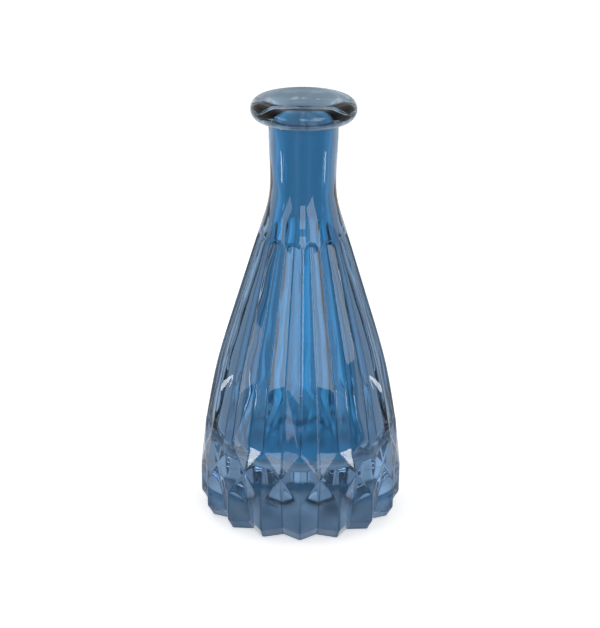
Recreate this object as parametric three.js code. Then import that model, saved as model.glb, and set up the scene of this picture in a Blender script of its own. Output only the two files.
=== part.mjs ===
// A narrow-necked bud vase, moulded in one piece of glass. Millimetres, +Z up.
// The origin is the centre of the foot's underside, so the vase stands on z = 0.
//
// The skin is one closed surface, built as a stack of rings. It starts at the middle of the
// underside, runs out to the foot, up the outside, over the rolled lip, and down the inside
// to the middle of the cavity floor. Below the neck each ring is a star: a rib stands on every
// pitch line, and a groove lies half a pitch further round.

import * as THREE from 'three';
import { mergeVertices } from 'three/addons/utils/BufferGeometryUtils.js';

// Overall sizes
const HEIGHT = 160;
const FOOT_RADIUS = 38.1;               // over the tips of the ribs
const RIBS = 16;

// Foot: a vertical-sided star that stands on a flat ring
const FOOT_GROOVE_DEPTH = 4.5;
const FOOT_EDGE_HEIGHT = 4;             // bevel round the bottom edge
const FOOT_EDGE_INSET = 2.5;
const STANDING_RING_WIDTH = 4;
const PUNT_DEPTH = 2.5;                 // hollow under the foot
const RIB_SIDE_HEIGHT = 15.5;           // top of the vertical part of each rib

// Band of diamond facets between the foot and the flutes
const DIAMOND_SIDE_HEIGHT = 25;         // side corners of the diamonds, over the grooves
const DIAMOND_SIDE_INSET = 0.9;
const GIRDLE_HEIGHT = 34.5;             // top corners of the diamonds
const GIRDLE_INSET = 2;
const GIRDLE_GROOVE_INSET = 3.9;

// Long flutes, and the lancet facets that close their grooves at the bottom
const LANCET_HEIGHT = 59;               // points of the lancets
const FLUTE_DEPTH = 1.3;                // groove below the flat between two ribs
const FLUTE_END_DEPTH = 0.8;            // the same just under the top of a flute
const FLUTE_END_LENGTH = 2.5;           // height of the arch at the top of a flute
const FLUTE_ARCH_GAP = 0.5;             // groove's end to the smooth neck

// Neck and lip
const NECK_LENGTH = 50;                 // top of the flutes to the top of the lip
const NECK_RADIUS = 12.15;              // outside, at the waist
const WAIST_DROP = 30.5;                // waist to the top of the lip
const SHOULDER_SWELL = 4;               // how much wider the neck is where the flutes end
const COLLAR_SWELL = 0.65;              // how much wider it is under the lip
const LIP_RADIUS = 19.45;
const LIP_ROLL_RADIUS = 4.2;
const LIP_FILLET = 1.2;                 // between the neck and the lip
const MOUTH_ANGLE = Math.PI * 0.75;     // where the roll gives way to the mouth

// Walls
const NECK_WALL = 1.9;
const SHOULDER_WALL = 4;                // where the flutes end
const BODY_WALL = 3;                    // behind the grooves
const FLOOR_THICKNESS = 24;
const FLOOR_CORNER_RADIUS = 9;

// How finely the surface is divided
const COLUMNS_PER_RIB = 4;
const PUNT_STEPS = 2;
const LANCET_STEPS = 2;
const FLUTE_STEPS = 4;
const NECK_STEPS = 6;
const BORE_STEPS = 3;
const COLLAR_STEPS = 3;
const LIP_STEPS = 8;
const MOUTH_STEPS = 3;
const CORNER_STEPS = 4;

// Heights and radii that follow from the sizes above
const fluteTopZ = HEIGHT - NECK_LENGTH;
const waistZ = HEIGHT - WAIST_DROP;
const lipCentreZ = HEIGHT - LIP_ROLL_RADIUS;
const lipCentreRadius = LIP_RADIUS - LIP_ROLL_RADIUS;
const girdleRadius = FOOT_RADIUS - GIRDLE_INSET;
const shoulderRadius = NECK_RADIUS + SHOULDER_SWELL;
const collarRadius = NECK_RADIUS + COLLAR_SWELL;
const grooveAngle = Math.PI / RIBS;     // from a rib to the groove beside it

const point = (radius, height) => new THREE.Vector2(radius, height);
const steps = (from, to, count) => Array.from(
  { length: count + 1 }, (_, i) => THREE.MathUtils.lerp(from, to, i / count));

// A curve of (radius, height). It leaves each end on that end's slope, in radius per
// millimetre of height, and keeps to it the more, the larger the end's reach.
function outline(low, high) {
  const height = high.end.y - low.end.y;
  const handle = ({ end, slope, reach }) => point(
    end.x + slope * reach * height, end.y + reach * height);
  return new THREE.CubicBezierCurve(
    low.end, handle(low), handle({ ...high, reach: -high.reach }), high.end);
}

// Outline of the ribs, and of the neck above them
const shoulder = { end: point(shoulderRadius, fluteTopZ), slope: -0.305 };
const waist = { end: point(NECK_RADIUS, waistZ), slope: 0 };
const bodyCurve = outline(
  { end: point(girdleRadius, GIRDLE_HEIGHT), slope: -0.168, reach: 0.37 },
  { ...shoulder, reach: 0.7 },
);
const neckCurve = outline({ ...shoulder, reach: 0.3 }, { ...waist, reach: 0.47 });

// The fillet meets the lip's circle where the neck's line, moved out by the fillet, would
// touch a circle that is larger by the fillet.
const filletRun = lipCentreRadius - (collarRadius + LIP_FILLET);
const filletDrop = Math.sqrt((LIP_ROLL_RADIUS + LIP_FILLET) ** 2 - filletRun ** 2);
const collarZ = lipCentreZ - filletDrop;
const collarCurve = outline(
  { ...waist, reach: 0.35 },
  { end: point(collarRadius, collarZ), slope: 0, reach: 0.5 },
);

// Radius of a curve at a height, found by halving the span
function radiusAt(curve, height) {
  let low = 0;
  let high = 1;
  for (let i = 0; i < 40; i += 1) {
    const middle = (low + high) / 2;
    if (curve.getPoint(middle).y < height) low = middle;
    else high = middle;
  }
  return curve.getPoint(low).x;
}

// A ring is a rib point and a groove point, each as (radius, height). One without a groove
// point is a circle.
const star = (rib, groove) => ({ rib, groove });
const circles = (points) => points.map((p) => ({ rib: p }));

// Places an outline point a number of pitches round from the front rib, which faces -Y
function place(p, pitches) {
  const angle = pitches * 2 * grooveAngle - Math.PI / 2;
  return new THREE.Vector3(p.x * Math.cos(angle), p.x * Math.sin(angle), p.y);
}

// Between a rib and a groove a ring runs straight, so the facets are flat.
function ringPoint(ring, column) {
  const pitches = column / COLUMNS_PER_RIB;
  if (!ring.groove) return place(ring.rib, pitches);
  const groove = Math.floor(pitches) + 0.5;
  const rib = pitches < groove ? groove - 0.5 : groove + 0.5;
  const towardsGroove = 1 - Math.abs(pitches - groove) * 2;
  return place(ring.rib, rib).lerp(place(ring.groove, groove), towardsGroove);
}

// Underside: a shallow dome, then the flat ring that the vase stands on
function undersideRings() {
  const puntRadius = FOOT_RADIUS - FOOT_GROOVE_DEPTH - FOOT_EDGE_INSET - STANDING_RING_WIDTH;
  const sag = (part) => PUNT_DEPTH * (1 - part ** 2);
  return circles(steps(0, 1, PUNT_STEPS).map((part) => point(puntRadius * part, sag(part))));
}

// Foot and diamonds. Where two rings share a point, the facets between them are triangles.
const girdleGroove = point(FOOT_RADIUS - GIRDLE_GROOVE_INSET, GIRDLE_HEIGHT);

function footRings() {
  const grooveRadius = FOOT_RADIUS - FOOT_GROOVE_DEPTH;
  const diamondSide = point(FOOT_RADIUS - DIAMOND_SIDE_INSET, DIAMOND_SIDE_HEIGHT);
  const diamondTop = point(girdleRadius, GIRDLE_HEIGHT);
  return [
    star(point(FOOT_RADIUS - FOOT_EDGE_INSET, 0), point(grooveRadius - FOOT_EDGE_INSET, 0)),
    star(point(FOOT_RADIUS, FOOT_EDGE_HEIGHT), point(grooveRadius, FOOT_EDGE_HEIGHT)),
    star(point(FOOT_RADIUS, RIB_SIDE_HEIGHT), diamondSide),
    star(diamondTop, diamondSide),
    star(diamondTop, girdleGroove),
  ];
}

// Ribs and grooves of the flutes. A groove lies below the flat between its two ribs.
const fluteEndZ = fluteTopZ - FLUTE_END_LENGTH;
const fluteHeights = steps(LANCET_HEIGHT, fluteEndZ, FLUTE_STEPS);

const ribPoint = (height) => point(radiusAt(bodyCurve, height), height);

function groovePoint(height) {
  const depth = THREE.MathUtils.mapLinear(
    height, LANCET_HEIGHT, fluteEndZ, FLUTE_DEPTH, FLUTE_END_DEPTH);
  return point(radiusAt(bodyCurve, height) * Math.cos(grooveAngle) - depth, height);
}

// Lancets, which fan from their points to the rib while it climbs, then the flutes. Each
// flute ends in an arch, because its groove runs a little higher than the ribs beside it.
function fluteRings() {
  const fan = steps(GIRDLE_HEIGHT, LANCET_HEIGHT, LANCET_STEPS)
    .map((height) => star(ribPoint(height), groovePoint(LANCET_HEIGHT)));
  const flutes = fluteHeights.slice(1).map((height) => star(ribPoint(height), groovePoint(height)));
  const archTop = groovePoint(fluteTopZ - FLUTE_ARCH_GAP);
  return [...fan, ...flutes, star(ribPoint(fluteEndZ), archTop)];
}

// Smooth neck, from the tops of the flutes to the fillet under the lip
function neckRings() {
  return circles([
    ...neckCurve.getPoints(NECK_STEPS),
    ...collarCurve.getPoints(COLLAR_STEPS).slice(1),
  ]);
}

const onRoll = (angle) => point(
  lipCentreRadius + LIP_ROLL_RADIUS * Math.cos(angle),
  lipCentreZ + LIP_ROLL_RADIUS * Math.sin(angle),
);

// The lip's roll: from the fillet out to its rim, up to the top, and in to the mouth
function lipRings() {
  const filletAngle = Math.atan2(-filletDrop, -filletRun);
  const top = Math.PI / 2;
  return circles([
    ...steps(filletAngle, top, LIP_STEPS).map(onRoll),
    ...steps(top, MOUTH_ANGLE, MOUTH_STEPS).slice(1).map(onRoll),
  ]);
}

// An outline moved in by a wall that changes evenly from one end to the other
function thinned(curve, count, wallBelow, wallAbove) {
  return curve.getPoints(count).map((p, i) => point(
    p.x - THREE.MathUtils.lerp(wallBelow, wallAbove, i / count), p.y));
}

// Inside, from the mouth down: the bore of the neck, then the cavity and its rounded corner
function insideRings() {
  const boreRadius = collarRadius - NECK_WALL;
  const mouth = outline(
    { end: point(boreRadius, collarZ), slope: 0, reach: 0.5 },
    { end: onRoll(MOUTH_ANGLE), slope: -Math.tan(MOUTH_ANGLE), reach: 0.2 },
  );
  const cornerZ = FLOOR_THICKNESS + FLOOR_CORNER_RADIUS;
  const cornerRadius = girdleGroove.x - BODY_WALL - FLOOR_CORNER_RADIUS;
  const corner = steps(0, Math.PI / 2, CORNER_STEPS).map((angle) => point(
    cornerRadius + FLOOR_CORNER_RADIUS * Math.sin(angle),
    cornerZ - FLOOR_CORNER_RADIUS * Math.cos(angle),
  ));
  const grooveLine = [girdleGroove, ...fluteHeights.map(groovePoint)];
  const upwards = [
    point(0, FLOOR_THICKNESS),
    ...corner,
    ...grooveLine.map((p) => point(p.x - BODY_WALL, p.y)),
    ...thinned(neckCurve, BORE_STEPS, SHOULDER_WALL, NECK_WALL),
    ...thinned(collarCurve, COLLAR_STEPS, NECK_WALL, NECK_WALL).slice(1, -1),
    ...mouth.getPoints(MOUTH_STEPS).slice(0, -1),
  ];
  return circles(upwards.reverse());
}

// Joins the rings with triangles that face out, and leaves out those with no area
function skin(rings) {
  const columns = RIBS * COLUMNS_PER_RIB;
  const positions = [];
  for (const ring of rings) {
    for (let column = 0; column < columns; column += 1) {
      positions.push(...ringPoint(ring, column).toArray());
    }
  }
  const faces = [];
  for (let row = 0; row + 1 < rings.length; row += 1) {
    for (let column = 0; column < columns; column += 1) {
      const next = (column + 1) % columns;
      const a = row * columns + column;
      const b = row * columns + next;
      const c = (row + 1) * columns + next;
      const d = (row + 1) * columns + column;
      // The diagonals mirror about each rib, so both its sides are alike.
      const beforeGroove = column % COLUMNS_PER_RIB < COLUMNS_PER_RIB / 2;
      if (beforeGroove) faces.push(a, b, d, b, c, d);
      else faces.push(a, b, c, a, c, d);
    }
  }
  const open = new THREE.BufferGeometry();
  open.setAttribute('position', new THREE.Float32BufferAttribute(positions, 3));
  open.setIndex(faces);
  const merged = mergeVertices(open, 1e-3);
  const index = merged.index.array;
  const kept = [];
  for (let i = 0; i < index.length; i += 3) {
    const [a, b, c] = index.slice(i, i + 3);
    if (a !== b && b !== c && c !== a) kept.push(a, b, c);
  }
  merged.setIndex(kept);
  merged.computeVertexNormals();
  return merged;
}

const blueGlass = new THREE.MeshStandardMaterial({
  color: 0x3f78a6, roughness: 0.05, metalness: 0, transparent: true, opacity: 0.6,
});

const vase = new THREE.Group();
const glass = new THREE.Mesh(skin([
  ...undersideRings(),
  ...footRings(),
  ...fluteRings(),
  ...neckRings(),
  ...lipRings(),
  ...insideRings(),
]), blueGlass);
glass.name = 'glass_vase';
vase.add(glass);

export default vase;
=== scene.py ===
"""A faceted glass bud vase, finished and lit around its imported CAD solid. Metres, +Z up."""

import math
from collections import namedtuple

import bmesh
import bpy
import numpy as np
from bpy.props import FloatProperty, FloatVectorProperty, IntProperty, PointerProperty
from mathutils import Matrix, Vector


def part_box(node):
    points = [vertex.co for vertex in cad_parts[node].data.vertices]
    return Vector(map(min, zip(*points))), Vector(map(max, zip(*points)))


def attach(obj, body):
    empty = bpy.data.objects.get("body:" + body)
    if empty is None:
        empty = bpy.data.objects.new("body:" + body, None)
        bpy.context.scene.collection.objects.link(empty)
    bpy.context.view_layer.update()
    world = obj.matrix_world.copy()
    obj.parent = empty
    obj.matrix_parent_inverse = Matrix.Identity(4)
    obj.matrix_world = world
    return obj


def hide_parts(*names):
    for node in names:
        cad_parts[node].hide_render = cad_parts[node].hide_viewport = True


bl_info = {
    "name": "Faceted Bud Vase",
    "version": (1, 0, 0),
    "blender": (4, 5, 0),
    "location": "3D View > Sidebar > Vase",
    "description": "Builds a moulded glass bud vase, its glass and a plain studio round it",
    "category": "Object",
}

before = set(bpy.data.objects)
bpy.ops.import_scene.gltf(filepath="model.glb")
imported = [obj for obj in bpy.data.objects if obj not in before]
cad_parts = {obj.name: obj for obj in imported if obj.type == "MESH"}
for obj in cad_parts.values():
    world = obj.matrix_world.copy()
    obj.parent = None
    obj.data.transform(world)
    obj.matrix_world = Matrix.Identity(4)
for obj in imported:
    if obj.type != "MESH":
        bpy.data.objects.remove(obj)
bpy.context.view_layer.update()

MM = 0.001
NODE = "glass_vase"
BODY = "root"
VASE_LOW, VASE_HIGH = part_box(NODE)

# Mesh attributes, each 1 on its own part of the glass and 0 on the rest
LINING = "lining"               # the cavity, up to the lip
# Painted shade: a dark colour on the edges between the facets, standing in for the dark lines that
# light makes in the glass there
EDGE_SHADE = "edge_shade"               # the edges between the facets
RIM = "rim"                     # the lip
STIPPLE = "stipple"             # the underside and the cavity's floor

# Slopes of the outline, in radius per height
GIRDLE_SLOPE = -0.168
SHOULDER_SLOPE = -0.305
MOUTH_ANGLE = math.radians(135)     # where the lip's roll gives way to the mouth
MOUTH_DEPTH = 8 * MM            # stretch under the mouth in which the rows lie closer
RIDGE_ALLOWANCE = 0.25          # how much of the softness a rib loses when it is rounded

# Waves that make the inside uneven. Each is a product of two sines, given by their slants
# along x, y and z and by where the first one starts.
RIPPLES = (
    ((1, 0, 0.31), (0, 0.83, -0.47), 0),
    ((0, 0.62, 0.71), (0.58, -0.39, 0), 1.3),
)
RIPPLE_RADIUS = 5 * MM          # they grow from nothing at the axis to their full height here

# How finely the glass is divided. A row is a ring of the skin, a column a place round it.
HALF_PITCH_COLUMNS = 12         # from a rib to the groove beside it
PUNT_ROWS = 13
STANDING_RING_ROWS = 7
FOOT_ROUNDING_ROWS = 4
BEVEL_ROWS = 12
FOOT_SIDE_ROWS = 16
DIAMOND_ROWS = 12
DIAMOND_GAP_ROWS = 8            # between two diamonds, over the corner that they share
LANCET_GROOVE_ROWS = 14         # from the girdle to a lancet's point, up the groove
LANCET_RIB_ROWS = 14            # from the girdle to the same height, up the rib
FLUTE_ROWS = 44
ARCH_ROWS = 24
NECK_ROWS = 59
FILLET_ROWS = 6
ROLL_ROWS = 39
MOUTH_ROWS = 15
CAVITY_ROWS = 109
CORNER_ROWS = 23
FLOOR_ROWS = 15
CURVE_SAMPLES = 600             # points along a curve of the outline
GROOVE_SAMPLES = 30             # points along the cavity's line behind the grooves
NECK_THINNING = 20              # of each curve the cavity's line keeps one point in this many
COLLAR_THINNING = 40
MOUTH_THINNING = 30
HEIGHT_HALVINGS = 26            # to find the row that passes a height
SOFTENING_RINGS = 3             # rings and spokes of the disc that rounds the edges
SOFTENING_SPOKES = 12
EASING_SAMPLES = 21             # along the stretch that eases the cavity's corners
WELD_GAP = 0.002 * MM           # points nearer than this are one point
SLIVER = 0.001 * MM             # edges shorter than this are taken out
FLOOR_SEGMENTS = 96

# Studio. Each softbox has a place, a width, a height and a power in watts.
SOFTBOXES = {
    "left_softbox": ((-0.84, -0.69, 0.22), 0.3, 0.6, 1.2),
    "right_softbox": ((0.52, -0.9, 0.3), 0.48, 0.6, 2.6),
    "front_softbox": ((0.0, -1.2, 0.3), 0.34, 0.4, 1.3),
}
CARD = ((0.3, -0.056, 0.026), 0.026, 0.016, 0.012)      # one on each side of the girdle
GIRDLE_MIDDLE = (0, 0, 0.03)    # what the cards face
CAMERA_PLACE = (0, -0.7224, 0.3418)
CAMERA_SENSOR, CAMERA_LENS = 36, 117.6      # millimetres
CAMERA_DIP, CAMERA_TURN, CAMERA_LEAN = 20.16, 0.057, 0.5        # degrees
LIGHT_BOUNCES = 64              # enough for light to cross every facet of the foot

# Levels of the air round the vase, as (place along the ramp, level)
AIR_SIDES = (                   # left to right
    (0.0, 0.53), (0.1, 0.53), (0.25, 0.72), (0.33, 1.25), (0.41, 0.72), (0.47, 0.56),
    (0.53, 0.56), (0.6, 0.68), (0.67, 1.0), (0.75, 0.64), (0.9, 0.53), (1.0, 0.53))
AIR_DEPTHS = ((0.0, 0.45), (0.3, 0.45), (0.5, 1.0))     # front to back
AIR_HEIGHTS = (                 # from level with the vase to straight above it
    (0.0, 1.0), (0.1, 1.0), (0.3, 0.7), (0.75, 0.9), (0.92, 1.8))


# ---------------------------------------------------------------- settings

def length(name, description, millimetres):
    return FloatProperty(
        name=name, description=description, default=millimetres * MM, precision=5,
        subtype="DISTANCE", unit="LENGTH")


def number(name, description, value, **limits):
    return FloatProperty(name=name, description=description, default=value, precision=3, **limits)


def colour(name, description, value):
    return FloatVectorProperty(
        name=name, description=description, default=value, size=3, min=0, max=1, subtype="COLOR")


class VaseSizes(bpy.types.PropertyGroup):
    """Sizes of the glass"""
    height: length("Height", "Foot to the top of the lip", (VASE_HIGH.z - VASE_LOW.z) / MM)
    foot_radius: length(
        "Foot radius", "Over the tips of the ribs", (VASE_HIGH.x - VASE_LOW.x) / 2 / MM)
    ribs: IntProperty(name="Ribs", description="Ribs round the body", default=16, min=6)

    foot_groove_depth: length("Foot groove depth", "Between two tips of the foot", 4.5)
    foot_edge_height: length("Foot edge height", "Bevel round the bottom edge", 4)
    foot_edge_inset: length("Foot edge inset", "How far that bevel runs in", 2.5)
    standing_ring_width: length("Standing ring width", "Flat ring that the vase rests on", 4)
    punt_depth: length("Punt depth", "Hollow under the foot", 2.5)
    rib_side_height: length("Rib side height", "Top of the upright part of a rib", 15.5)

    diamond_side_height: length("Diamond side height", "Side corners of the diamonds", 25)
    diamond_side_inset: length("Diamond side inset", "Inside the foot's radius", 0.9)
    girdle_height: length("Girdle height", "Top corners of the diamonds", 34.5)
    girdle_inset: length("Girdle inset", "Ribs at the girdle, inside the foot's radius", 2)
    girdle_groove_inset: length("Girdle groove inset", "Grooves at the girdle, likewise", 3.9)

    lancet_height: length("Lancet height", "Points of the lancets", 59)
    flute_depth: length("Flute depth", "Groove below the flat between two ribs", 1.3)
    flute_end_depth: length("Flute end depth", "The same at the top of a flute", 0.8)
    arch_rise: length("Arch rise", "Height of the arch over each flute", 2.5)
    arch_length: length("Arch length", "Run in which a flute comes out to the neck", 1.6)

    neck_length: length("Neck length", "Top of the flutes to the top of the lip", 50)
    neck_radius: length("Neck radius", "Outside, at the waist", 12.15)
    waist_drop: length("Waist drop", "Waist to the top of the lip", 30.5)
    shoulder_swell: length("Shoulder swell", "How much wider the neck is at the flutes", 4)
    collar_swell: length("Collar swell", "How much wider the neck is under the lip", 0.65)
    lip_radius: length("Lip radius", "Over the rolled lip", 19.45)
    lip_roll_radius: length("Lip roll radius", "Radius of the roll itself", 4.2)
    lip_fillet: length("Lip fillet", "Between the neck and the lip", 1.2)

    neck_wall: length("Neck wall", "Glass at the neck", 1.9)
    shoulder_wall: length("Shoulder wall", "Glass where the flutes end", 4)
    body_wall: length("Body wall", "Glass behind the grooves", 3)
    floor_thickness: length("Floor thickness", "Solid glass under the cavity", 24)
    floor_corner_radius: length("Floor corner radius", "Round the cavity floor", 9)
    cavity_ease: length("Cavity ease", "How far the corners of the cavity are eased", 5)
    edge_softness: length("Edge softness", "How far the moulding rounds the facets' edges", 0.6)
    lining_start: length("Lining start", "Top of the lip to the first of the lining", 8)
    lining_fade: length("Lining fade", "Depth over which the lining comes in", 4)
    rim_depth: length("Rim depth", "Top of the lip to the last of the paler glass", 9)
    rim_fade: length("Rim fade", "Height over which the paler glass comes in", 4)
    foot_rounding: length("Foot rounding", "Radius of the edge that meets the table", 0.5)
    # Painted shade: the edges reach their darkest painted colour once the rounding has moved the skin
    # this far
    edge_shade_depth: length("Edge shade depth", "Rounding at which an edge is darkest", 0.1)
    ripple: length("Ripple", "Unevenness of the glass inside", 0.12)
    ripple_size: length("Ripple size", "Width of one ripple", 14)


class GlassLooks(bpy.types.PropertyGroup):
    """Colours and finish of the glass"""
    depth_tint: colour("Depth tint", "Colour that thick glass takes on", (0.62, 0.72, 0.80))
    skin_tint: colour("Skin tint", "Colour let through by the outside", (0.205, 0.35, 0.55))
    rim_tint: colour("Rim tint", "Colour let through by the lip", (0.33, 0.46, 0.58))
    # Painted shade: a dark colour laid on the facets' edges, in place of the dark lines that light
    # makes in the glass
    edge_shade_tint: colour("Edge shade tint", "Colour let through by the edges", (0.05, 0.11, 0.20))
    lining_tint: colour("Lining tint", "Colour let through by the cavity's faces", (0.18, 0.68, 0.95))
    thickness_density: number("Density", "Strength of the tint through the glass, per metre", 8.0)
    refraction: number("Refraction", "Index of refraction of soda glass", 1.5, min=1.0)
    roughness: number("Roughness", "Of the fire-polished skin", 0.02, min=0.0, max=1.0)
    stipple: number("Stipple", "Roughness of the underside and the floor", 0.35, min=0.0, max=1.0)


class StudioLooks(bpy.types.PropertyGroup):
    """The studio round the vase"""
    floor_radius: length("Floor radius", "Radius of the floor", 6000)
    floor_colour: colour("Floor colour", "Colour of the floor", (0.95, 0.95, 0.95))
    floor_roughness: number("Floor roughness", "Of the matt floor", 0.9, min=0.0, max=1.0)
    floor_glow: number("Floor glow", "Light that the floor gives off, to keep it pale", 0.5, min=0.0)


# ---------------------------------------------------------------- outline of the glass

End = namedtuple("End", "radius height slope reach")


def spaced(low, high, count):
    """Values at even steps after low, up to and with high."""
    return np.linspace(low, high, count + 1)[1:]


def curve_between(low, high):
    """Cubic line of (radius, height). It leaves each end on that end's slope, in radius per
    height, and keeps to it the more, the larger the end's reach."""
    span = high.height - low.height
    a = np.array((low.radius, low.height))
    d = np.array((high.radius, high.height))
    b = a + span * low.reach * np.array((low.slope, 1.0))
    c = d - span * high.reach * np.array((high.slope, 1.0))
    t = np.linspace(0, 1, CURVE_SAMPLES)[:, None]
    return (1 - t) ** 3 * a + 3 * t * (1 - t) ** 2 * b + 3 * t**2 * (1 - t) * c + t**3 * d


def radius_at(line, height):
    """Radius of a line of (radius, height) at a height."""
    return np.interp(height, line[:, 1], line[:, 0])


def eased(low, high, count):
    """Values from low to high, closer together near both ends."""
    turn = np.linspace(0, math.pi, count + 1)
    return low + (high - low) * (1 - np.cos(turn)) / 2


def smooth_step(value):
    value = np.clip(value, 0, 1)
    return value * value * (3 - 2 * value)


class GlassOutline:
    """Works out the skin of the vase from its sizes."""

    def __init__(self, sizes):
        s = self.sizes = sizes
        self.groove_angle = math.pi / s.ribs
        self.flute_top = s.height - s.neck_length
        self.waist = s.height - s.waist_drop
        self.lip_centre = (s.lip_radius - s.lip_roll_radius, s.height - s.lip_roll_radius)
        self.collar_radius = s.neck_radius + s.collar_swell
        run = self.lip_centre[0] - (self.collar_radius + s.lip_fillet)
        drop = math.sqrt((s.lip_roll_radius + s.lip_fillet) ** 2 - run**2)
        self.fillet_angle = math.atan2(-drop, -run)
        self.collar = self.lip_centre[1] - drop

        girdle_radius = s.foot_radius - s.girdle_inset
        shoulder_radius = s.neck_radius + s.shoulder_swell
        self.body_curve = curve_between(
            End(girdle_radius, s.girdle_height, slope=GIRDLE_SLOPE, reach=0.37),
            End(shoulder_radius, self.flute_top, slope=SHOULDER_SLOPE, reach=0.7))
        self.neck_curve = curve_between(
            End(shoulder_radius, self.flute_top, slope=SHOULDER_SLOPE, reach=0.3),
            End(s.neck_radius, self.waist, slope=0, reach=0.47))
        self.collar_curve = curve_between(
            End(s.neck_radius, self.waist, slope=0, reach=0.35),
            End(self.collar_radius, self.collar, slope=0, reach=0.5))
        self.rib_line = np.vstack([self.body_curve, self.neck_curve[1:], self.collar_curve[1:]])
        self.net, self.net_rows = self.facet_net()

    def groove_radius(self, height):
        """Bottom of a flute, which lies below the flat between the ribs beside it."""
        s = self.sizes
        top = self.flute_top - s.arch_rise
        depth = np.interp(height, (s.lancet_height, top), (s.flute_depth, s.flute_end_depth))
        return radius_at(self.rib_line, height) * math.cos(self.groove_angle) - depth

    def facet_net(self):
        """Rings of the faceted part, each as (rib radius, rib height, groove radius, groove
        height), and the rows at which the skin is divided."""
        s = self.sizes
        ridge = RIDGE_ALLOWANCE * s.edge_softness
        tip = s.foot_radius
        notch = s.foot_radius - s.foot_groove_depth
        side = (s.foot_radius - s.diamond_side_inset, s.diamond_side_height)
        top = (s.foot_radius - s.girdle_inset, s.girdle_height)
        valley = (s.foot_radius - s.girdle_groove_inset, s.girdle_height)
        lancet = (self.groove_radius(s.lancet_height), s.lancet_height)
        # The bevel is carried on below the table, so that softening finds a skin there too.
        below = -s.foot_edge_height
        rings = [
            (tip - 2 * s.foot_edge_inset, below, notch - 2 * s.foot_edge_inset, below),
            (tip, s.foot_edge_height, notch, s.foot_edge_height),
            (tip, s.rib_side_height, *side),
            (*top, *side),
            (*top, *valley),
            (*top, *lancet),
        ]
        for height in spaced(s.girdle_height, s.lancet_height, LANCET_RIB_ROWS):
            rings.append((radius_at(self.rib_line, height), height, *lancet))
        for height in spaced(s.lancet_height, self.flute_top + s.arch_rise, FLUTE_ROWS):
            rings.append((radius_at(self.rib_line, height), height,
                          self.groove_radius(height), height))
        rings = np.array(rings)
        rings[:, 0] += ridge
        divisions = (
            BEVEL_ROWS, FOOT_SIDE_ROWS, DIAMOND_ROWS, DIAMOND_GAP_ROWS, LANCET_GROOVE_ROWS)
        rows = [eased(k, k + 1, count)[:-1] for k, count in enumerate(divisions)]
        return rings, np.concatenate([*rows, np.arange(len(divisions), len(rings))])

    def net_point(self, row, angle):
        """Radius and height at which the ring of a row passes an angle from the rib."""
        k = np.minimum(row.astype(int), len(self.net) - 2)
        part = (row - k)[..., None]
        ring = self.net[k] * (1 - part) + self.net[k + 1] * part
        rib_radius, rib_height, groove_radius, groove_height = (ring[..., i] for i in range(4))
        near = rib_radius * np.sin(angle)
        far = groove_radius * np.sin(self.groove_angle - angle)
        share = near / (near + far)
        radius = ((1 - share) * rib_radius * np.cos(angle)
                  + share * groove_radius * np.cos(self.groove_angle - angle))
        return radius, (1 - share) * rib_height + share * groove_height

    def facet_radius(self, angle, height):
        """Radius of the sharp facets at an angle from the rib, found by halving the rows."""
        low = np.zeros_like(height)
        high = np.full_like(height, len(self.net) - 1.0)
        for _ in range(HEIGHT_HALVINGS):
            middle = (low + high) / 2
            below = self.net_point(middle, angle)[1] < height
            low = np.where(below, middle, low)
            high = np.where(below, high, middle)
        return self.net_point((low + high) / 2, angle)[0]

    def arch_top(self, angle):
        """Height at which a flute ends, lowest at the ribs and highest over the groove."""
        from_groove = 1 - angle / self.groove_angle
        return self.flute_top - self.sizes.arch_rise * from_groove**2

    def sharp_radius(self, angle, height):
        """Outside radius before the edges are softened. Angles past the rib or the groove
        are folded back, because each half pitch mirrors the one beside it."""
        angle = self.groove_angle - np.abs(self.groove_angle - np.abs(angle))
        neck_share = smooth_step((height - self.arch_top(angle)) / self.sizes.arch_length + 1)
        facets = self.facet_radius(angle, height)
        return facets + (radius_at(self.rib_line, height) - facets) * neck_share

    def soft_radius(self, angle, height):
        """Outside radius, averaged over a small disc of the skin, which rounds the edges."""
        reach = self.sizes.edge_softness
        radius = self.sharp_radius(angle, height)
        total = np.zeros_like(radius)
        for ring in range(SOFTENING_RINGS):
            away = reach * math.sqrt((ring + 0.5) / SOFTENING_RINGS)
            for spoke in range(SOFTENING_SPOKES):
                turn = 2 * math.pi * (spoke + 0.5 * (ring % 2)) / SOFTENING_SPOKES
                total += self.sharp_radius(
                    angle + away * math.cos(turn) / radius, height + away * math.sin(turn))
        return total / (SOFTENING_RINGS * SOFTENING_SPOKES)

    # Rows of the skin. Each is (radii, heights) over the columns of half a pitch.

    def column_angles(self):
        return eased(0, self.groove_angle, HALF_PITCH_COLUMNS)

    def level(self, height):
        return np.full(HALF_PITCH_COLUMNS + 1, height, dtype=float)

    def circle(self, radius, height):
        return self.level(radius), self.level(height)

    def foot_edge_radius(self):
        return self.soft_radius(self.column_angles(), self.level(self.sizes.foot_rounding))

    def underside_rows(self):
        """Hollow under the foot, then the flat ring that the vase stands on."""
        s = self.sizes
        flat_edge = self.foot_edge_radius() - s.foot_rounding
        punt_radius = (s.foot_radius - s.foot_groove_depth - s.foot_edge_inset
                       - s.standing_ring_width)
        rows = [self.circle(0, s.punt_depth)]
        for part in spaced(0, 1, PUNT_ROWS):
            rows.append(self.circle(punt_radius * part, s.punt_depth * (1 - part**2)))
        for part in spaced(0, 1, STANDING_RING_ROWS):
            rows.append((punt_radius + (flat_edge - punt_radius) * part, self.level(0)))
        return rows

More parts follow.
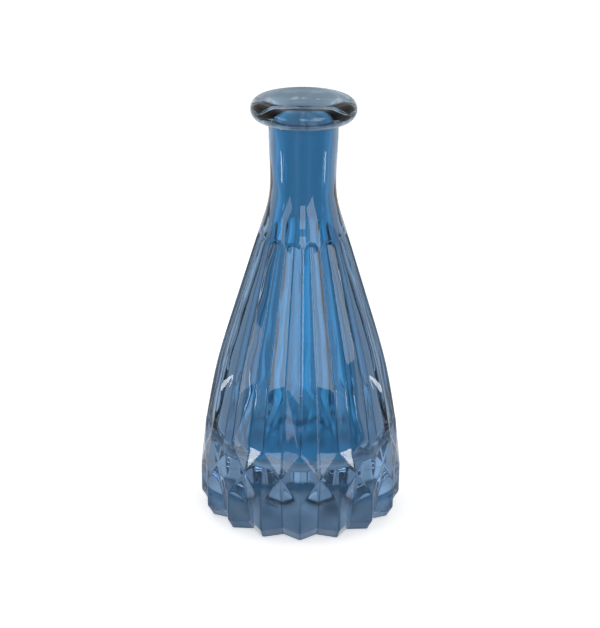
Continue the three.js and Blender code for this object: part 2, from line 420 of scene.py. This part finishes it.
    def facet_rows(self):
        """From the foot's rounded bottom edge to the arches over the flutes."""
        s = self.sizes
        angles = self.column_angles()
        edge_radius = self.foot_edge_radius()
        rows = []
        for turn in spaced(0, math.pi / 2, FOOT_ROUNDING_ROWS + 1)[:-1]:
            rows.append((edge_radius - s.foot_rounding * (1 - math.sin(turn)),
                         self.level(s.foot_rounding * (1 - math.cos(turn)))))
        heights = self.net_point(*np.meshgrid(self.net_rows, angles, indexing="ij"))[1]
        arch_foot = self.flute_top - 2 * s.arch_rise
        above_edge = heights.min(axis=1) > s.foot_rounding
        below_arches = heights.max(axis=1) < arch_foot
        heights = heights[above_edge & below_arches]
        finish = self.arch_top(angles) + 2 * s.edge_softness
        parts = spaced(0, 1, ARCH_ROWS)[:, None]
        heights = np.vstack([heights, heights[-1] + (finish - heights[-1]) * parts])
        radii = self.soft_radius(np.broadcast_to(angles, heights.shape), heights)
        return rows + list(zip(radii, heights))

    def neck_rows(self, start):
        """Round neck, from the row where the flutes end to the fillet under the lip."""
        rows = []
        for part in spaced(0, 1, NECK_ROWS):
            height = start + (self.collar - start) * part
            rows.append((radius_at(self.rib_line, height), height))
        return rows

    def lip_rows(self):
        """Fillet, then the roll: out to its rim, over the top and in to the mouth."""
        s = self.sizes
        rows = []
        fillet_centre = (
            self.lip_centre[0] + (s.lip_roll_radius + s.lip_fillet) * math.cos(self.fillet_angle),
            self.collar)
        for turn in spaced(math.pi, self.fillet_angle + math.pi, FILLET_ROWS):
            rows.append(self.circle(fillet_centre[0] + s.lip_fillet * math.cos(turn),
                                    fillet_centre[1] + s.lip_fillet * math.sin(turn)))
        for turn in spaced(self.fillet_angle, MOUTH_ANGLE, ROLL_ROWS):
            rows.append(self.circle(*self.on_roll(turn)))
        return rows

    def on_roll(self, turn):
        """Radius and height of a point on the lip's roll."""
        roll = self.sizes.lip_roll_radius
        return (self.lip_centre[0] + roll * math.cos(turn),
                self.lip_centre[1] + roll * math.sin(turn))

    def cavity_side(self):
        """Side of the cavity as (radius, height), from its rounded corner up to the mouth."""
        s = self.sizes
        valley = s.foot_radius - s.girdle_groove_inset - s.body_wall
        corner_height = s.floor_thickness + s.floor_corner_radius
        body_heights = np.linspace(
            s.lancet_height, self.flute_top - s.arch_rise, GROOVE_SAMPLES)
        body = np.column_stack([self.groove_radius(body_heights) - s.body_wall, body_heights])
        wall = np.linspace(s.shoulder_wall, s.neck_wall, CURVE_SAMPLES)
        neck = self.neck_curve - np.column_stack([wall, np.zeros_like(wall)])
        collar = self.collar_curve - np.array((s.neck_wall, 0))
        mouth = curve_between(
            End(self.collar_radius - s.neck_wall, self.collar, slope=0, reach=0.5),
            End(*self.on_roll(MOUTH_ANGLE), slope=-math.tan(MOUTH_ANGLE), reach=0.2))
        return np.vstack([
            [valley, corner_height], [valley, s.girdle_height], body, neck[::NECK_THINNING],
            collar[::COLLAR_THINNING][1:], mouth[::MOUTH_THINNING][1:]])

    def cavity_foot(self, side_radius):
        """Floor of the cavity, then its rounded corner, as (radius, height)."""
        s = self.sizes
        corner = s.floor_corner_radius
        flat_radius = side_radius - corner
        turns = np.linspace(0, math.pi / 2, CORNER_ROWS + 1)[:-1]
        across = np.linspace(0, flat_radius, FLOOR_ROWS + 1)[:-1]
        return np.vstack([
            np.column_stack([across, np.full_like(across, s.floor_thickness)]),
            np.column_stack([flat_radius + corner * np.sin(turns),
                             s.floor_thickness + corner - corner * np.cos(turns)])])

    def inside_rows(self):
        """From the mouth down to the middle of the floor. The corners of the side are eased."""
        side = self.cavity_side()
        low, high = side[0, 1], self.on_roll(MOUTH_ANGLE)[1]
        mouth_foot = high - MOUTH_DEPTH
        heights = np.concatenate([
            [low], spaced(low, mouth_foot, CAVITY_ROWS), spaced(mouth_foot, high, MOUTH_ROWS)])
        radii = np.zeros_like(heights)
        offsets = np.linspace(-1, 1, EASING_SAMPLES)
        weights = 1 - np.abs(offsets)
        reach = np.minimum(self.sizes.cavity_ease, np.minimum(heights - low, high - heights))
        for offset, weight in zip(offsets, weights):
            radii += weight * np.interp(heights + offset * reach, side[:, 1], side[:, 0])
        radii /= weights.sum()
        line = np.vstack([self.cavity_foot(side[0, 0]), np.column_stack([radii, heights])])
        return [self.circle(*point) for point in line[::-1][1:]]

    def lining_share(self, height):
        """1 in the cavity, fading out towards the mouth."""
        s = self.sizes
        return smooth_step((s.height - s.lining_start - height) / s.lining_fade)

    def edge_shade_share(self, angle, radius, height):
        """1 where the skin has been rounded well away from the sharp facets. There the edges get
        painted shade.
        """
        angle = np.broadcast_to(angle, height.shape)
        moved = np.abs(self.sharp_radius(angle, height) - radius)
        return smooth_step(moved / self.sizes.edge_shade_depth)

    def rim_share(self, height):
        """1 on the lip, fading out down the neck."""
        s = self.sizes
        return smooth_step((height - s.height + s.rim_depth) / s.rim_fade)

    def floor_share(self, height):
        """1 on the cavity's floor, fading out up the corner round it."""
        s = self.sizes
        return smooth_step(2 - 2 * (height - s.floor_thickness) / s.floor_corner_radius)


# ---------------------------------------------------------------- vase

def ring_angles(outline, ribs):
    """Angles of one whole ring, and which half-pitch column each takes its radius from."""
    half = outline.column_angles()
    pitch = 2 * outline.groove_angle
    columns = list(range(HALF_PITCH_COLUMNS)) + list(range(HALF_PITCH_COLUMNS, 0, -1))
    angles = [half[c] for c in columns[:HALF_PITCH_COLUMNS]]
    angles += [pitch - half[c] for c in columns[HALF_PITCH_COLUMNS:]]
    whole = [rib * pitch + angle - math.pi / 2 for rib in range(ribs) for angle in angles]
    return np.array(whole), np.array(columns * ribs)


def ripple(places, sizes):
    """Slow unevenness of the inside. Moves each place a little towards or from the axis."""
    wave = 2 * math.pi / sizes.ripple_size * places
    swell = sum(np.sin(wave @ np.array(first) + start) * np.sin(wave @ np.array(second))
                for first, second, start in RIPPLES)
    radius = np.hypot(places[..., 0], places[..., 1])
    strength = sizes.ripple * np.clip(radius / RIPPLE_RADIUS, 0, 1) * swell / len(RIPPLES)
    away = places[..., :2] / np.maximum(radius, MM)[..., None]
    places[..., :2] += away * strength[..., None]


def vase_mesh(sizes):
    """The closed skin of the vase, with the shares of its tints and finish on its points."""
    outline = GlassOutline(sizes)
    underside = outline.underside_rows()
    facets = outline.facet_rows()
    outside = underside + facets + outline.neck_rows(facets[-1][1]) + outline.lip_rows()
    rows = outside + outline.inside_rows()
    angles, columns = ring_angles(outline, sizes.ribs)
    radii = np.array([row[0] for row in rows])[:, columns]
    heights = np.array([row[1] for row in rows])[:, columns]
    places = np.stack([radii * np.cos(angles), radii * np.sin(angles), heights], axis=-1)
    on_underside = slice(len(underside))
    on_facets = slice(len(underside), len(underside) + len(facets))
    inside = slice(len(outside), len(rows))
    ripple(places[inside], sizes)

    shares = {name: np.zeros_like(heights) for name in (LINING, EDGE_SHADE, RIM, STIPPLE)}
    shares[LINING][inside] = outline.lining_share(heights[inside])
    # Painted shade on the rounded edges of the facets
    shares[EDGE_SHADE][on_facets] = outline.edge_shade_share(
        outline.column_angles()[columns], radii[on_facets], heights[on_facets])
    shares[RIM][:] = outline.rim_share(heights)
    shares[STIPPLE][on_underside] = 1
    shares[STIPPLE][inside] = outline.floor_share(heights[inside])

    corner = np.arange(heights.size).reshape(heights.shape)
    beside = np.roll(corner, -1, axis=1)
    faces = np.stack([corner[:-1], beside[:-1], beside[1:], corner[1:]], axis=-1)
    mesh = bpy.data.meshes.new("bud_vase")
    mesh.from_pydata(places.reshape(-1, 3).tolist(), [], faces.reshape(-1, 4).tolist())
    for name, share in shares.items():
        mesh.attributes.new(name, "FLOAT", "POINT").data.foreach_set("value", share.ravel())

    mesh_data = bmesh.new()
    mesh_data.from_mesh(mesh)
    bmesh.ops.remove_doubles(mesh_data, verts=mesh_data.verts, dist=WELD_GAP)
    bmesh.ops.dissolve_degenerate(mesh_data, edges=mesh_data.edges, dist=SLIVER)
    mesh_data.to_mesh(mesh)
    mesh_data.free()
    mesh.shade_smooth()
    return mesh


def feed(tree, socket, value):
    """Links a socket to another one, or sets it to a plain value."""
    if isinstance(value, bpy.types.NodeSocket):
        tree.links.new(value, socket)
    else:
        socket.default_value = value


def blend(tree, kind, low, high, share):
    """Runs from low to high while a mesh attribute runs from 0 to 1."""
    attribute = tree.nodes.new("ShaderNodeAttribute")
    attribute.attribute_name = share
    mix = tree.nodes.new("ShaderNodeMix")
    mix.data_type = kind
    feed(tree, mix.inputs["Factor"], attribute.outputs["Fac"])
    feed(tree, mix.inputs["A"], low)
    feed(tree, mix.inputs["B"], high)
    return mix.outputs["Result"]


def glass_material(looks):
    """Clear glass with its tint on its faces, painted shade along the facets' edges, and a weak tint
    through its thickness.
    """
    material = bpy.data.materials.new("lined_blue_glass")
    material.use_nodes = True
    tree = material.node_tree
    shader = tree.nodes["Principled BSDF"]
    shader.inputs["Transmission Weight"].default_value = 1
    shader.inputs["IOR"].default_value = looks.refraction
    finish = blend(tree, "FLOAT", looks.roughness, looks.stipple, STIPPLE)
    feed(tree, shader.inputs["Roughness"], finish)
    tint = (*looks.skin_tint, 1)
    # The first tint mixed in is painted shade on the facets' edges
    for share, other in (
            (EDGE_SHADE, looks.edge_shade_tint), (RIM, looks.rim_tint), (LINING, looks.lining_tint)):
        tint = blend(tree, "RGBA", tint, (*other, 1), share)
    feed(tree, shader.inputs["Base Color"], tint)
    depth = tree.nodes.new("ShaderNodeVolumeAbsorption")
    depth.inputs["Color"].default_value = (*looks.depth_tint, 1)
    depth.inputs["Density"].default_value = looks.thickness_density
    feed(tree, tree.nodes["Material Output"].inputs["Volume"], depth.outputs["Volume"])
    return material


class VASE_OT_glass(bpy.types.Operator):
    """Build the glass vase in place of its CAD solid"""
    bl_idname = "vase.glass"
    bl_label = "Glass vase"

    def execute(self, context):
        scene = context.scene
        vase = bpy.data.objects.new("bud_vase", vase_mesh(scene.vase_sizes))
        vase.data.materials.append(glass_material(scene.vase_glass))
        scene.collection.objects.link(vase)
        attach(vase, BODY)
        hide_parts(NODE)
        return {"FINISHED"}


# ---------------------------------------------------------------- studio

def floor_disc(looks):
    """Matt white floor, which gives off a little light so that it stays pale."""
    mesh_data = bmesh.new()
    bmesh.ops.create_circle(
        mesh_data, cap_ends=True, segments=FLOOR_SEGMENTS, radius=looks.floor_radius)
    mesh = bpy.data.meshes.new("studio_floor")
    mesh_data.to_mesh(mesh)
    mesh_data.free()
    material = bpy.data.materials.new("matt_white_floor")
    material.use_nodes = True
    shader = material.node_tree.nodes["Principled BSDF"]
    shader.inputs["Base Color"].default_value = (*looks.floor_colour, 1)
    shader.inputs["Roughness"].default_value = looks.floor_roughness
    shader.inputs["Specular IOR Level"].default_value = 0
    shader.inputs["Emission Color"].default_value = (1, 1, 1, 1)
    shader.inputs["Emission Strength"].default_value = looks.floor_glow
    mesh.materials.append(material)
    return bpy.data.objects.new("studio_floor", mesh)


def softbox(scene, name, target, place, width, height, power):
    """A soft rectangular light that faces a target."""
    light = bpy.data.lights.new(name, "AREA")
    light.shape = "RECTANGLE"
    light.size = width
    light.size_y = height
    light.energy = power
    lamp = bpy.data.objects.new(name, light)
    lamp.location = place
    lamp.rotation_euler = (Vector(target) - Vector(place)).to_track_quat("-Z", "Z").to_euler()
    scene.collection.objects.link(lamp)


def maths(tree, operation, *values):
    """A sum on sockets and plain numbers."""
    node = tree.nodes.new("ShaderNodeMath")
    node.operation = operation
    for socket, value in zip(node.inputs, values):
        feed(tree, socket, value)
    return node.outputs[0]


def level_ramp(tree, value, stops):
    """Grey that follows a value smoothly from stop to stop."""
    ramp = tree.nodes.new("ShaderNodeValToRGB")
    ramp.color_ramp.interpolation = "EASE"
    elements = ramp.color_ramp.elements
    while len(elements) < len(stops):
        elements.new(0.5)
    for element, (place, level) in zip(elements, stops):
        element.position = place
        element.color = (level, level, level, 1)
    feed(tree, ramp.inputs["Fac"], value)
    return ramp.outputs["Color"]


def studio_air(scene):
    """White to the camera. The glass meets a grey that is graded by direction instead."""
    world = bpy.data.worlds.new("studio_air")
    scene.world = world
    world.use_nodes = True
    tree = world.node_tree
    nodes = tree.nodes
    place = nodes.new("ShaderNodeTexCoord")
    direction = nodes.new("ShaderNodeSeparateXYZ")
    feed(tree, direction.inputs[0], place.outputs["Generated"])
    across = maths(tree, "MULTIPLY_ADD", direction.outputs["X"], 0.5, 0.5)
    away = maths(tree, "MULTIPLY_ADD", direction.outputs["Y"], 0.5, 0.5)
    sides = level_ramp(tree, across, AIR_SIDES)
    depths = level_ramp(tree, away, AIR_DEPTHS)
    heights = level_ramp(tree, direction.outputs["Z"], AIR_HEIGHTS)
    grey = nodes["Background"]
    sides_and_heights = maths(tree, "MULTIPLY", sides, heights)
    feed(tree, grey.inputs["Color"], maths(tree, "MULTIPLY", sides_and_heights, depths))
    white = nodes.new("ShaderNodeBackground")
    white.inputs["Color"].default_value = (1, 1, 1, 1)
    ray = nodes.new("ShaderNodeLightPath")
    seen = nodes.new("ShaderNodeMixShader")
    feed(tree, seen.inputs["Fac"], ray.outputs["Is Camera Ray"])
    feed(tree, seen.inputs[1], grey.outputs[0])
    feed(tree, seen.inputs[2], white.outputs[0])
    feed(tree, nodes["World Output"].inputs["Surface"], seen.outputs[0])


def studio_camera(scene):
    """A long lens in front of the vase, looking a little down on it."""
    lens = bpy.data.cameras.new("studio_camera")
    lens.sensor_fit = "VERTICAL"
    lens.sensor_height = CAMERA_SENSOR
    lens.lens = CAMERA_LENS
    camera = bpy.data.objects.new("studio_camera", lens)
    tilt = Matrix.Rotation(math.radians(90 - CAMERA_DIP), 4, "X")
    turn = Matrix.Rotation(math.radians(CAMERA_TURN), 4, "Z")
    lean = Matrix.Rotation(math.radians(CAMERA_LEAN), 4, "Z")
    camera.matrix_world = Matrix.Translation(CAMERA_PLACE) @ turn @ tilt @ lean
    scene.collection.objects.link(camera)
    scene.camera = camera


class VASE_OT_studio(bpy.types.Operator):
    """Set up the floor, the lights and the camera"""
    bl_idname = "vase.studio"
    bl_label = "Studio"

    def execute(self, context):
        scene = context.scene
        floor = floor_disc(scene.vase_studio)
        scene.collection.objects.link(floor)
        floor.visible_transmission = False
        floor.visible_glossy = False
        middle = (0, 0, VASE_HIGH.z / 2)
        for name, placing in SOFTBOXES.items():
            softbox(scene, name, middle, *placing)
        (away, forward, height), *card_sizes = CARD
        for side in (-1, 1):
            softbox(scene, "front_card", GIRDLE_MIDDLE, (side * away, forward, height), *card_sizes)
        studio_air(scene)
        studio_camera(scene)
        scene.view_settings.view_transform = "Standard"
        scene.cycles.max_bounces = LIGHT_BOUNCES
        scene.cycles.transmission_bounces = LIGHT_BOUNCES
        return {"FINISHED"}


class VASE_PT_panel(bpy.types.Panel):
    """Pieces of the vase"""
    bl_label = "Bud vase"
    bl_idname = "VASE_PT_panel"
    bl_space_type = "VIEW_3D"
    bl_region_type = "UI"
    bl_category = "Vase"

    def draw(self, context):
        for operator in OPERATORS:
            self.layout.operator(operator.bl_idname)


OPERATORS = (VASE_OT_glass, VASE_OT_studio)
CLASSES = (VaseSizes, GlassLooks, StudioLooks, *OPERATORS, VASE_PT_panel)
SETTINGS = {"vase_sizes": VaseSizes, "vase_glass": GlassLooks, "vase_studio": StudioLooks}


def register():
    for cls in CLASSES:
        bpy.utils.register_class(cls)
    for name, cls in SETTINGS.items():
        setattr(bpy.types.Scene, name, PointerProperty(type=cls))


def unregister():
    for name in SETTINGS:
        delattr(bpy.types.Scene, name)
    for cls in reversed(CLASSES):
        bpy.utils.unregister_class(cls)


def main():
    register()
    bpy.ops.vase.glass()
    bpy.ops.vase.studio()


if __name__ == "__main__":
    main()
